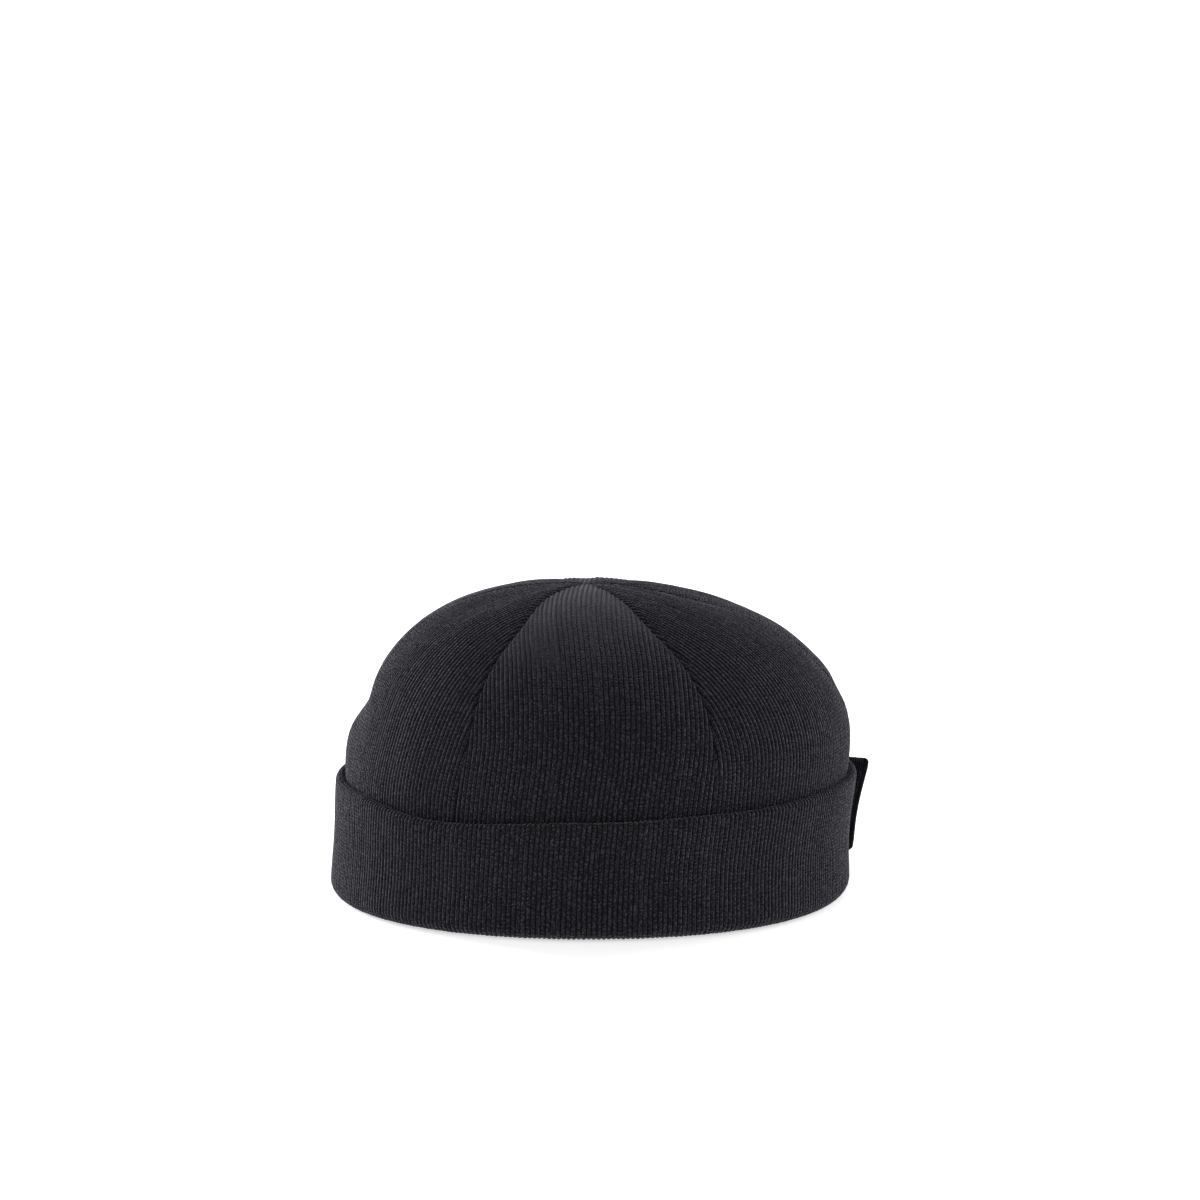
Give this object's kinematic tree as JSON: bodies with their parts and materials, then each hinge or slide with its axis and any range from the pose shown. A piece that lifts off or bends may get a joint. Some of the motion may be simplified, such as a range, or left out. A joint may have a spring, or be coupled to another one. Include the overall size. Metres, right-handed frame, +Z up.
{
  "type": "brimless fisherman cap",
  "caption": "Brimless fisherman cap: a soft dome of sewn ribbed gores over a turned-up cuff of the same cloth, with a strap across the back, open below for a head",
  "frame": {"origin": "on the floor, below the middle of the whole cap", "axes": "+Z up through the crown, -Y to the front of the cap, +X to the side where the strap's free end stands off"},
  "size_m": [0.199, 0.2124, 0.1107],
  "materials": {
    "ribbed_cloth": "matt black ribbed knit with a soft nap"
  },
  "bodies": {
    "root": {"crown_gore_front": "ribbed_cloth", "crown_gore_front_right": "ribbed_cloth", "crown_gore_back_right": "ribbed_cloth", "crown_gore_back": "ribbed_cloth", "crown_gore_back_left": "ribbed_cloth", "crown_gore_front_left": "ribbed_cloth", "cuff": "ribbed_cloth", "back_strap": "ribbed_cloth"}
  },
  "joints": []
}
